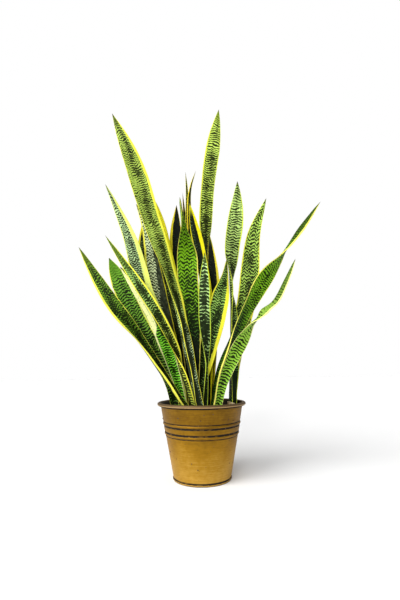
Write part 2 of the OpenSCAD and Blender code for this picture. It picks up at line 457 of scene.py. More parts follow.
    def material(self, name: str) -> bpy.types.Material:
        """Makes the leaf's material.

        Args:
            name: The leaf's name.

        Returns:
            The material, with patterns that follow the leaf's own length.
        """
        material, bench = new_material(name, self.light)
        place = LeafPlace.on(bench, self.seen, float(self.seed * 37))
        low = bench.fall(place.along, 60, self.low_run)
        far = bench.fall(place.to_tip, 0.3 * self.end_run, 1.2 * self.end_run)
        gloom = bench.fall(place.along, 60, self.gloom_run) * self.gloom
        fibre = place.grain(1.3, 0.015, 5)
        bands, edging = self.bands(place, low), self.edging(place)
        body = bench.blend(gloom, self.body(place, bands, low, fibre), self.shadow)
        body = bench.blend(far * 0.75, body, self.end)
        coat = bench.blend(edging, body, self.yellow(place, gloom))
        specks = bench.rise(place.grain(0.5, 0.4, 12, 3), 0.72, 0.76)
        coat = bench.blend(specks * 0.35, coat, self.speck)
        coat = bench.blend(far * 0.2, coat, self.end)
        coat = bench.blend(bench.fall(place.to_tip, 2.0, 9.0) * 0.8, coat, self.dry_point)
        relief = fibre * 0.5 + bands * 0.3 + place.grain(0.25, 0.12, 13)
        bench.surface(
            {
                "Base Color": coat,
                "Roughness": 0.44 + fibre * 0.14 + edging * 0.08,
                "IOR": 1.42,
                "Specular IOR Level": 0.06,
                "Normal": bench.bump(relief, 0.35 * MM, 0.55),
            }
        )
        return material


@dataclass(frozen=True)
class AntiqueGold:
    """Gold paint rubbed over a dark ground, on sheet metal.

    Heights are in millimetres. The paint is tan on the rolled rim, which begins
    at rolled, and painted dark as shade on the roll's top edge; the dark rings
    painted as shade in grooves and seams are given by their (height, reach).
    """

    bright: Colour = tint(200, 160, 70)
    gold: Colour = tint(154, 112, 10)
    shade: Colour = tint(104, 72, 0)
    tan: Colour = tint(180, 150, 104)
    # dark colour of the roll's top edge, painted as shade
    lip_shade: Colour = tint(64, 46, 26)
    # colour of the dirt and of the dark rings painted as shade
    dark: Colour = tint(14, 9, 4)
    rolled: tuple[float, float] = (150.6, 152.6)
    lip_shade_rise: tuple[float, float] = (152.9, 153.7)
    seed: float = 3.0
    painted_shade_lines: tuple[tuple[float, float], ...] = ()

    def material(self, name: str) -> bpy.types.Material:
        """Makes the paint's material."""
        material, bench = new_material(name, self.gold)
        point, height = bench.place()
        shifted = bench.add(
            "ShaderNodeMapping",
            inputs={"Vector": point, "Location": (self.seed * 91, 17.0, 5.0)},
        )
        cloud = bench.noise(shifted, 0.02, 3)
        fleck = bench.noise(shifted, 0.16, 4)
        grit = bench.noise(shifted, 1.1, 3)
        brushed = bench.noise(bench.drawn(point, (0.04, 0.04, 1.1)), 1.0, 3)
        # lighter towards the foot, darker up under the rim: painted shade
        lift = bench.rise(height, 130, 10)
        tone = cloud * 0.5 + fleck * 0.3 + brushed * 0.5 - 0.45 + lift * 0.5
        paint = bench.blend(bench.rise(tone, 0.0, 0.55), self.shade, self.gold)
        paint = bench.blend(bench.rise(tone, 0.4, 1.0), paint, self.bright)
        paint = bench.blend(bench.rise(grit, 0.5, 0.75) * 0.18, paint, self.shade)
        rubbed = bench.rise(height, *self.rolled) * (0.6 + fleck * 0.5)
        paint = bench.blend(rubbed, paint, self.tan)
        # the roll's top edge darkened as painted shade
        paint = bench.blend(bench.rise(height, *self.lip_shade_rise) * 0.8, paint, self.lip_shade)
        # dirt from the noise, then dark rings painted as shade in the grooves and seams
        dirt_and_painted_shade = bench.rise(fleck * 0.7 + grit * 0.3, 0.45, 1.0) * 0.2
        for level, reach in self.painted_shade_lines:
            away = abs(height - level + (fleck - 0.5) * 1.6)
            broken = 0.5 + 0.9 * bench.rise(cloud * 0.5 + fleck * 0.5, 0.35, 0.55)
            dirt_and_painted_shade = dirt_and_painted_shade.math("MAXIMUM", bench.fall(away, reach * 0.4, reach) * broken)
        dirt_and_painted_shade = dirt_and_painted_shade.math("MINIMUM", 0.98)
        relief = cloud + fleck * 0.4 + grit * 0.1 + brushed * 0.15 - dirt_and_painted_shade * 0.2
        bench.surface(
            {
                "Base Color": bench.blend(dirt_and_painted_shade, paint, self.dark),
                "Metallic": 0.6 - dirt_and_painted_shade * 0.5,
                "Roughness": 0.46 + fleck * 0.12 + dirt_and_painted_shade * 0.3,
                "Specular IOR Level": 0.3,
                "Normal": bench.bump(relief, 0.5 * MM, 0.5),
            }
        )
        return material


@dataclass(frozen=True)
class BareSteel:
    """Plain sheet steel with water marks and a little rust."""

    metal: Colour = tint(128, 126, 122)
    stain: Colour = tint(86, 70, 54)

    def material(self, name: str) -> bpy.types.Material:
        """Makes the steel's material."""
        material, bench = new_material(name, self.metal)
        point, _ = bench.place()
        cloud = bench.noise(point, 0.05, 4)
        grit = bench.noise(point, 0.9, 3)
        rust = bench.rise(cloud * 0.8 + grit * 0.4, 0.68, 0.8)
        colour = bench.blend(cloud, dimmed(self.metal, 0.7), self.metal)
        bench.surface(
            {
                "Base Color": bench.blend(rust * 0.7, colour, self.stain),
                "Metallic": 0.85 - rust * 0.7,
                "Roughness": 0.38 + grit * 0.2 + rust * 0.25,
                "Normal": bench.bump(grit + rust, 0.15 * MM, 0.5),
            }
        )
        return material


@dataclass(frozen=True)
class PottingMix:
    """Dark damp peat, or the chips and crumbs in it. Lumps are per millimetre."""

    dark: Colour = tint(24, 17, 13)
    light: Colour = tint(66, 50, 38)
    lumps: float = 0.12
    flecks: Colour = tint(118, 96, 70)

    def material(self, name: str) -> bpy.types.Material:
        """Makes the mix's material."""
        material, bench = new_material(name, self.dark)
        point, _ = bench.place()
        lump = bench.noise(point, self.lumps, 5)
        fibre = bench.noise(point, 0.7, 5)
        fleck = bench.rise(bench.noise(point, 0.42, 3), 0.66, 0.7)
        colour = bench.blend(bench.rise(lump, 0.35, 0.7), self.dark, self.light)
        colour = bench.blend(bench.rise(fibre, 0.45, 0.7) * 0.5, colour, self.dark)
        bench.surface(
            {
                "Base Color": bench.blend(fleck * 0.5, colour, self.flecks),
                "Roughness": 0.8 + fibre * 0.2,
                "Normal": bench.bump(lump + fibre * 0.6, 1.2 * MM, 0.9),
            }
        )
        return material


@dataclass(frozen=True)
class DryFibre:
    """A dry papery or fibrous skin with lengthwise veins."""

    pale: Colour = tint(206, 190, 146)
    brown: Colour = tint(128, 92, 52)

    def material(self, name: str) -> bpy.types.Material:
        """Makes the skin's material."""
        material, bench = new_material(name, self.pale)
        point, _ = bench.place()
        vein = bench.noise(bench.drawn(point, (1.0, 1.0, 0.08)), 1.0, 4)
        cloud = bench.noise(point, 0.16, 3)
        share = bench.rise(vein * 0.7 + cloud * 0.5, 0.45, 0.75)
        bench.surface(
            {
                "Base Color": bench.blend(share, self.pale, self.brown),
                "Roughness": 0.62 + vein * 0.2,
                "Normal": bench.bump(vein + cloud * 0.3, 0.4 * MM, 0.7),
            }
        )
        return material


# -------------------------------------------------------------- mesh helpers


def link(name: str, data: Any) -> bpy.types.Object:
    """Makes an object of some data and links it to the scene."""
    made = bpy.data.objects.new(name, data)
    bpy.context.scene.collection.objects.link(made)
    return made


def new_piece(
    name: str,
    mesh: bpy.types.Mesh,
    materials: list[bpy.types.Material],
    replaced: tuple[str, ...] = (),
) -> bpy.types.Object:
    """Links a finished mesh as a piece of the object.

    Args:
        name: The piece's name.
        mesh: Its mesh, already in place.
        materials: Its materials, in order.
        replaced: The frame's nodes that it stands for.

    Returns:
        The piece.
    """
    piece = link(name, mesh)
    mesh.materials.clear()
    for material in materials:
        mesh.materials.append(material)
    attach(piece, "root")
    if replaced:
        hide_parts(*replaced)
    LOG.info("%s: %d faces", name, len(mesh.polygons))
    return piece


def dress(node: str, material: bpy.types.Material) -> None:
    """Gives one of the frame's own nodes a finished material."""
    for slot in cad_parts[node].material_slots:
        slot.material = material
    LOG.info("%s keeps the frame's shape", node)


def smooth(mesh: bpy.types.Mesh) -> bpy.types.Mesh:
    """Shades a mesh smooth."""
    mesh.polygons.foreach_set("use_smooth", [True] * len(mesh.polygons))
    mesh.update()
    return mesh


def closed(name: str, points: list[Point], faces: list[tuple]) -> bpy.types.Mesh:
    """Makes a mesh whose doubles are merged and whose faces point outwards."""
    mesh = bpy.data.meshes.new(name)
    mesh.from_pydata(points, [], faces)
    work = bmesh.new()
    work.from_mesh(mesh)
    bmesh.ops.remove_doubles(work, verts=work.verts, dist=1e-7)
    bmesh.ops.recalc_face_normals(work, faces=work.faces)
    work.to_mesh(mesh)
    work.free()
    return mesh


def turned(
    name: str,
    outline: Outline,
    around: int,
    shift: Callable[[float, float], float] | None = None,
) -> bpy.types.Mesh:
    """Turns a closed outline about the Z axis.

    Args:
        name: The mesh's name.
        outline: Closed outline of (radius, height), outside upwards first.
        around: Faces round the turn.
        shift: Gives the change of the radius at an angle and a height.

    Returns:
        The mesh.
    """
    count, points, faces = len(outline), [], []
    for i in range(around):
        angle = TURN * i / around
        for r, z in outline:
            r += shift(angle, z) if shift else 0.0
            points.append((r * math.cos(angle), r * math.sin(angle), z))
    for i in range(around):
        a, b = i * count, (i + 1) % around * count
        for k in range(count):
            n = (k + 1) % count
            faces.append((a + k, b + k, b + n, a + n))
    return closed(name, points, faces)


def waves(seed: int, size: float, count: int, top: int, up: float) -> list[tuple]:
    """Draws seeded wave terms for ripple().

    Args:
        seed: Seed of the draw.
        size: Size of the largest wave.
        count: Number of waves.
        top: Most waves round the turn.
        up: Most radians a metre of height.

    Returns:
        Waves of (size, waves round, radians a metre, phase).
    """
    rng = np.random.default_rng(seed)
    return [
        (
            size * rng.uniform(0.3, 1.0),
            int(rng.integers(1, top)),
            rng.uniform(-up, up),
            rng.uniform(0, 6.28),
        )
        for _ in range(count)
    ]


def ripple(angle: float, height: float, terms: list[tuple]) -> float:
    """Adds up the terms of waves() at an angle and a height in metres."""
    return sum(
        size * math.sin(count * angle + up * height + phase)
        for size, count, up, phase in terms
    )


@dataclass(frozen=True)
class GeometryTree:
    """A geometry node tree with named inputs."""

    bench: Bench
    keys: dict[str, str]

    @classmethod
    def start(cls, name: str, inputs: dict[str, str]) -> "GeometryTree":
        """Starts a tree that takes and gives a geometry.

        Args:
            name: The tree's name.
            inputs: The kind of each further input, by name.

        Returns:
            The tree, with no nodes yet.
        """
        tree = bpy.data.node_groups.new(name, "GeometryNodeTree")
        keys = {}
        for label, kind in {"Geometry": "Geometry", **inputs}.items():
            socket = tree.interface.new_socket(
                label, in_out="INPUT", socket_type="NodeSocket" + kind
            )
            keys[label] = socket.identifier
        tree.interface.new_socket(
            "Geometry", in_out="OUTPUT", socket_type="NodeSocketGeometry"
        )
        return cls(Bench(tree), keys)

    def finish(self, shape: Signal, material: Signal) -> None:
        """Ends the tree with a real shape in its material."""
        bench = self.bench
        real = bench.add("GeometryNodeRealizeInstances", inputs={"Geometry": shape})
        dressed = bench.add(
            "GeometryNodeSetMaterial", inputs={"Geometry": real, "Material": material}
        )
        bench.add("NodeGroupOutput", inputs={0: dressed})

    def run(
        self, name: str, mesh: bpy.types.Mesh, values: dict[str, Any]
    ) -> bpy.types.Mesh:
        """Runs the tree on a mesh, which it uses up.

        Args:
            name: The new mesh's name.
            mesh: The mesh that the tree takes.
            values: The inputs' values, by name.

        Returns:
            The result as a plain mesh.
        """
        host = link(name + "_host", mesh)
        modifier = host.modifiers.new(name, "NODES")
        modifier.node_group = self.bench.tree
        for label, value in values.items():
            modifier[self.keys[label]] = value
        graph = bpy.context.evaluated_depsgraph_get()
        made = bpy.data.meshes.new_from_object(
            host.evaluated_get(graph), preserve_all_data_layers=True, depsgraph=graph
        )
        made.name = name
        bpy.data.objects.remove(host)
        bpy.data.meshes.remove(mesh)
        return made


# -------------------------------------------------------------------- leaves


@dataclass
class BladeTree:
    """The node tree that sweeps a leaf's section along its spine."""

    around: int = 40
    along: int = 230
    tree: GeometryTree = field(init=False)

    def __post_init__(self) -> None:
        """Builds the tree once, for every leaf."""
        self.tree = GeometryTree.start(
            "leaf_blade",
            {
                "Sections Around": "Int",
                "Sections Along": "Int",
                "Edge Thickness": "Float",
                "Ripple": "Float",
                "Ripple Pitch": "Float",
                "Seed": "Float",
                "Leaf": "Material",
            },
        )
        bench = self.tree.bench
        given = bench.add("NodeGroupInput")
        grid = bench.add(
            "GeometryNodeMeshGrid",
            inputs={
                "Size X": 1.0,
                "Size Y": 1.0,
                "Vertices X": given.of("Sections Around") + 1,
                "Vertices Y": given.of("Sections Along") + 1,
            },
        )
        flat = bench.add("GeometryNodeInputPosition")
        split = bench.add("ShaderNodeSeparateXYZ", inputs={0: flat}, out="X")
        turn = (split + 0.5) * TURN
        far = (split.of("Y") + 0.5).math("MAXIMUM", 0.0).math("MINIMUM", 1.0)
        spot, stored = self._blade(bench, given, turn, far)
        # these are worked out on the flat grid, so they are stored before it moves
        for name, value in stored.items():
            grid = bench.add(
                "GeometryNodeStoreNamedAttribute",
                {"data_type": "FLOAT", "domain": "POINT"},
                {"Geometry": grid, "Name": name, "Value": value},
            )
        blade = bench.add(
            "GeometryNodeSetPosition", inputs={"Geometry": grid, "Position": spot}
        )
        merged = bench.add(
            "GeometryNodeMergeByDistance",
            inputs={"Geometry": blade, "Distance": 0.01 * MM},
        )
        shaded = bench.add("GeometryNodeSetShadeSmooth", inputs={"Geometry": merged})
        self.tree.finish(shaded, given.of("Leaf"))

    def _blade(
        self, bench: Bench, given: Signal, turn: Signal, far: Signal
    ) -> tuple[Signal, dict[str, Signal]]:
        """Works out where each point of the grid goes.

        Args:
            bench: The tree's bench.
            given: The tree's inputs.
            turn: The point's angle round the section.
            far: The point's share of the way from the root to the tip.

        Returns:
            The point's place, and the values that the material reads.
        """
        curve = bench.add("GeometryNodeMeshToCurve", inputs={"Mesh": given})
        curve = bench.add(
            "GeometryNodeCurveSplineType", {"spline_type": "CATMULL_ROM"}, {0: curve}
        )
        # the stations stand closer together towards the tip
        station = 1 - (1 - far).math("POWER", 1.25)
        # 0 on the grid's first row, which closes the root to a point
        body = far.math("GREATER_THAN", 0.5 / self.along)

        def sample(name: str, kind: str = "FLOAT") -> Signal:
            """An attribute of the spine at each station."""
            value = bench.add(
                "GeometryNodeInputNamedAttribute", {"data_type": kind}, {"Name": name}
            )
            return bench.add(
                "GeometryNodeSampleCurve",
                {"data_type": kind, "mode": "FACTOR"},
                {"Curves": curve, "Value": value, "Factor": station},
            )

        side, front = sample("side", "FLOAT_VECTOR"), sample("front", "FLOAT_VECTOR")
        half, cup, thick, run = (sample(n) for n in ("half", "cup", "thick", "run"))
        seed = given.of("Seed")
        across, top = 0 - turn.math("COSINE"), turn.math("SINE")
        wobble = bench.noise(bench.vector(across * 0.6, run * 16, seed)) - 0.5
        trim = bench.noise(bench.vector(across * 0.5, run * 9, seed + 31)) - 0.5
        lean = across * abs(across)
        wave = (run / given.of("Ripple Pitch") * TURN + seed).math("SINE")
        slim = (half * 60).math("MINIMUM", 1.0)
        edge = (wave * lean + wobble * lean * 2.2) * given.of("Ripple") * slim
        skin = thick * 0.5 * abs(top) + given.of("Edge Thickness") * 0.5 * slim
        lift = cup * (across * across - 0.45) + edge + top * skin * body
        reach = across * (half * (1 + trim * 0.07)) * body
        spot = bench.vectors("ADD", {0: side.of("Position"), 1: bench.scaled(side, reach)})
        spot = bench.vectors("ADD", {0: spot, 1: bench.scaled(front, lift * body)})
        tip = sample("to_tip")
        return spot, {"across": across, "along": run, "half": half, "to_tip": tip}


@dataclass(frozen=True)
class Ring:
    """The measures of one ring of points of a leaf's solid."""

    middle: np.ndarray
    side: np.ndarray
    floor: np.ndarray
    half: float
    thick: float

    @classmethod
    def around(cls, points: np.ndarray) -> "Ring":
        """Measures a ring: its widest gap lies between the leaf's margins."""
        gaps = np.linalg.norm(points[:, None] - points[None], axis=2)
        i, j = np.unravel_index(np.argmax(gaps), gaps.shape)
        width = gaps[i, j]
        middle = (points[i] + points[j]) / 2
        side = (points[j] - points[i]) / np.linalg.norm(points[j] - points[i])
        rest = np.delete(points, [i, j], axis=0)
        offsets = np.abs((rest - middle) @ side)
        near = rest[offsets < 0.1 * width]
        if len(near) < 2:
            near = rest[np.argsort(offsets)[:2]]
        thick = float(np.linalg.norm(near[0] - near[1]))
        return cls(middle, side, near.mean(axis=0), width / 2, thick)


@dataclass
class Leaf:
    """One leaf, read from the frame's solid and rebuilt as a fine blade."""

    node: str
    finish: LeafFinish
    edge: float = 1.1 * MM
    ripple: float = 1.0 * MM
    ripple_pitch: float = 0.11

    def rings(self) -> list[np.ndarray]:
        """Reads the solid's rings of points, from the root to the tip.

        Returns:
            One array of points for each ring; the tip's holds one point.
        """
        work = bmesh.new()
        work.from_mesh(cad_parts[self.node].data)
        bmesh.ops.remove_doubles(work, verts=work.verts, dist=0.02 * MM)
        tip = max(work.verts, key=lambda v: v.co.z)
        seen, ring, found = {tip}, [tip], []
        while ring:
            found.append(np.array([v.co[:] for v in ring]))
            beyond = []
            for vert in ring:
                for edge in vert.link_edges:
                    other = edge.other_vert(vert)
                    if other not in seen:
                        seen.add(other)
                        beyond.append(other)
            ring = beyond
        work.free()
        return found[::-1]

    def stations(self) -> dict[str, list[Any]]:
        """Works out the line that the blade follows, with its widths and sides.

        Returns:
            The values at each station, root first, by name.
        """
        *solid, tip = self.rings()
        rings, tip = [Ring.around(points) for points in solid], tip[0]
        found = {name: [] for name in ("place", "side", "front", "half", "cup", "thick")}
        for k, ring in enumerate(rings):
            after = rings[k + 1].middle if k + 1 < len(rings) else tip
            before = rings[k - 1].middle if k else ring.middle
            heading = (after - before) / np.linalg.norm(after - before)
            up = ring.middle - ring.floor
            up = up - heading * (up @ heading)
            depth = float(np.linalg.norm(up))
            side = ring.side - heading * (ring.side @ heading)
            side = side / np.linalg.norm(side)
            if np.cross(side, heading) @ up < 0:
                side = -side
            front = np.cross(side, heading)
            centre = ring.middle - front * depth * 0.55
            values = (centre, side, front, ring.half, depth, ring.thick)
            for kept, value in zip(found.values(), values):
                kept.append(value)
        ends = (tip, found["side"][-1], found["front"][-1], 0.0, 0.0, 0.0)
        for kept, value in zip(found.values(), ends):
            kept.append(value)
        return found

    def spine(self) -> bpy.types.Mesh:
        """Makes a polyline that carries the stations' values."""
        columns = self.stations()
        points = np.array(columns.pop("place"))
        legs = np.linalg.norm(np.diff(points, axis=0), axis=1)
        run = np.concatenate([[0.0], np.cumsum(legs)])
        columns["run"], columns["to_tip"] = run, run[-1] - run
        mesh = bpy.data.meshes.new(self.node + "_spine")
        edges = [(i, i + 1) for i in range(len(points) - 1)]
        mesh.from_pydata([tuple(p) for p in points], edges, [])
        for name, values in columns.items():
            flat = np.array(values, dtype=np.float32)
            kind, key = ("FLOAT_VECTOR", "vector") if flat.ndim == 2 else ("FLOAT", "value")
            store = mesh.attributes.new(name, kind, "POINT")
            store.data.foreach_set(key, flat.ravel())
        return mesh

    def build(self, blade: BladeTree) -> None:
        """Sweeps the blade and links it as a piece.

        Args:
            blade: The shared node tree.
        """
        material = self.finish.material(self.node)
        values = {
            "Sections Around": blade.around,
            "Sections Along": blade.along,
            "Edge Thickness": self.edge,
            "Ripple": self.ripple,
            "Ripple Pitch": self.ripple_pitch,
            "Seed": float(self.finish.seed * 7),
            "Leaf": material,
        }
        mesh = smooth(blade.tree.run(self.node + "_blade", self.spine(), values))
        name = self.node.replace("leaf_", "blade_")
        new_piece(name, mesh, [material], (self.node,))


LEAVES: dict[str, LeafFinish] = {
    "leaf_left_low": LeafFinish(
        light=tint(96, 140, 26), margin=tint(232, 230, 84), end=tint(84, 104, 20),
        left=0.46, right=0.06, far_left=0.3, far_run=330, cover=0.62, gloom=0.6,
        end_run=55, seed=1,
    ),
    "leaf_left_front": LeafFinish(
        light=tint(136, 176, 84), near=tint(196, 214, 84), margin=tint(248, 240, 70),
        end=tint(84, 108, 20), left=0.14, right=0.26, cover=0.66, gloom=0.0, end_run=85,
        seed=2,
    ),
    "leaf_left_broad": LeafFinish(
        light=tint(98, 150, 34), near=tint(120, 164, 60), margin=tint(240, 232, 92),
        end=tint(80, 128, 22), left=0.1, right=0.07, cover=0.42, gloom=0.35,
        gloom_run=380, pitch=6.0, zig=0.5, zag=7.0, end_run=50, seed=3,
    ),
    # its bright near ground is painted light on a foot that lies in shade
    "leaf_left_inner": LeafFinish(
        light=tint(110, 170, 40), near=tint(130, 222, 56), margin=tint(240, 238, 170),
        left=0.2, right=0.1, far_left=0.74, far_right=0.5, far_run=150, cover=0.36,
        gloom=0.0, zig=0.4, zag=7.0, seen=0.75, streaky=1.0, seed=4,
    ),
    "leaf_left_tall": LeafFinish(
        light=tint(170, 200, 138), margin=tint(220, 226, 106), left=0.12, right=0.6,
        cover=0.6, streaky=0.9, seed=5,
    ),
    # its pale ground is painted light, and its dense ribbon towards one margin is painted
    # shade
    "leaf_left_rear": LeafFinish(
        light=tint(206, 232, 168), margin=tint(236, 228, 70), left=0.22, right=0.04,
        cover=0.84, core=1.1, core_at=0.62, gloom=0.5, pitch=6.5, zag=5.0, seed=6,
    ),
    "leaf_left_far_rear": LeafFinish(
        light=tint(100, 120, 60), margin=tint(226, 216, 54), left=0.4, right=0.1,
        cover=0.85, gloom=0.8, seed=7,
    ),
    "leaf_high_left": LeafFinish(
        light=tint(158, 184, 74), near=tint(206, 234, 176), margin=tint(240, 236, 70),
        left=0.07, right=0.07, far_left=0.06, far_right=0.24, far_run=440, core=0.45,
        core_at=0.1, low_dark=0.6, gloom=0.0, pitch=4.6, zig=0.8, seen=0.7, end_run=34,
        seed=8,
    ),
    "leaf_high_centre": LeafFinish(
        light=tint(178, 206, 84), margin=tint(228, 232, 70), end=tint(104, 124, 24),
        left=0.05, right=0.07, far_left=0.16, far_run=330, cover=0.56, core=0.2,
        core_at=0.1, low_dark=0.6, low_run=700, gloom=0.5, gloom_run=480, pitch=4.6,
        zag=4.0, seen=0.5, end_run=30, seed=29,
    ),
    "leaf_mid_left": LeafFinish(
        light=tint(110, 130, 50), margin=tint(222, 212, 36), left=0.06, right=0.42,
        cover=0.85, gloom=0.85, gloom_run=420, seed=10,
    ),
    # its near-black ground and dense bands are painted shade on a face in shadow
    "leaf_mid_rear": LeafFinish(
        light=tint(34, 50, 26), margin=tint(222, 206, 40), end=tint(20, 20, 14),
        left=0.42, right=0.1, cover=0.95, gloom=0.8, seed=11,
    ),
    # its dark near ground is painted shade at the foot
    "leaf_centre_broad": LeafFinish(
        light=tint(108, 162, 10), near=tint(60, 110, 40), margin=tint(216, 208, 90),
        end=tint(110, 124, 60), left=0.06, right=0.1, cover=0.34, core=0.1,
        low_dark=0.85, gloom=0.9, gloom_run=270, pitch=7.4, zig=0.8, zag=6.5,
        end_run=46, seed=12,
    ),
    "leaf_centre_front": LeafFinish(
        light=tint(176, 222, 132), margin=tint(186, 210, 60), left=0.12, right=0.14,
        cover=0.7, core=0.2, gloom=0.5, pitch=7.0, zig=0.5, zag=6.0, seen=0.6, seed=13,
    ),
    # this leaf and the four after it stand deep in the tuft: their dark grounds and dense
    # bands are painted shade
    "leaf_young_front": LeafFinish(
        light=tint(70, 86, 34), margin=tint(240, 218, 50), end=tint(70, 84, 30),
        left=0.5, right=0.1, cover=0.8, gloom=0.8, seed=14,
    ),
    "leaf_young_middle": LeafFinish(
        light=tint(104, 126, 48), margin=tint(222, 208, 60), end=tint(86, 84, 30),
        left=0.2, right=0.3, cover=0.7, gloom=0.8, seed=15,
    ),
    "leaf_young_rear": LeafFinish(
        light=tint(60, 70, 40), margin=tint(214, 190, 90), end=tint(40, 36, 28),
        left=0.3, right=0.2, cover=0.85, gloom=0.8, seed=16,
    ),
    "leaf_centre_rear": LeafFinish(
        light=tint(70, 90, 50), margin=tint(222, 214, 20), end=tint(190, 190, 30),
        right=0.6, cover=0.9, gloom=0.9, gloom_run=420, seed=17,
    ),
    "leaf_right_rear": LeafFinish(
        light=tint(60, 70, 44), margin=tint(222, 208, 54), left=0.1, right=0.36,
        cover=0.9, gloom=0.9, gloom_run=420, seed=18,
    ),
    "leaf_right_inner": LeafFinish(
        light=tint(150, 196, 90), margin=tint(250, 242, 60), right=0.4, cover=0.56,
        gloom=0.2, seen=0.8, seed=19,
    ),
    "leaf_right_upright": LeafFinish(
        light=tint(160, 190, 100), near=tint(120, 190, 96), margin=tint(206, 220, 60),
        left=0.09, right=0.12, cover=0.46, low_dark=0.6, low_run=500, gloom=0.3,
        gloom_run=420, pitch=5.4, zig=0.6, zag=5.0, seen=0.5, end_run=12, seed=20,
    ),
    "leaf_right_tall": LeafFinish(
        light=tint(158, 194, 80), near=tint(84, 150, 56), margin=tint(230, 228, 60),
        end=tint(96, 120, 40), left=0.12, right=0.1, cover=0.54, core=0.2, low_dark=0.4,
        low_run=520, pitch=7.2, zig=1.2, zag=5.5, end_run=14, seed=21,
    ),
    "leaf_right_long": LeafFinish(
        light=tint(112, 166, 20), near=tint(60, 110, 30), margin=tint(250, 242, 110),
        end=tint(34, 48, 10), left=0.14, right=0.06, far_left=0.26, far_right=0.3,
        far_run=150, cover=0.44, gloom=0.6, zig=0.4, zag=6.0, end_run=150, seed=22,
    ),
    "leaf_right_front": LeafFinish(
        light=tint(160, 200, 76), near=tint(134, 186, 56), margin=tint(244, 240, 150),
        end=tint(44, 70, 12), left=0.06, right=0.03, far_left=0.2, far_right=0.36,
        far_run=165, cover=0.16, gloom=0.2, pitch=6.0, zig=0.3, zag=8.0, seen=0.8,
        end_run=150, seed=23,
    ),
}


@dataclass
class Foliage:
    """All of the plant's leaves."""

    blade: BladeTree = field(default_factory=BladeTree)

    def build(self) -> None:
        """Builds every leaf in the order of the table."""
        for node, finish in LEAVES.items():
            Leaf(node, finish).build(self.blade)


# ----------------------------------------------------------------------- pot


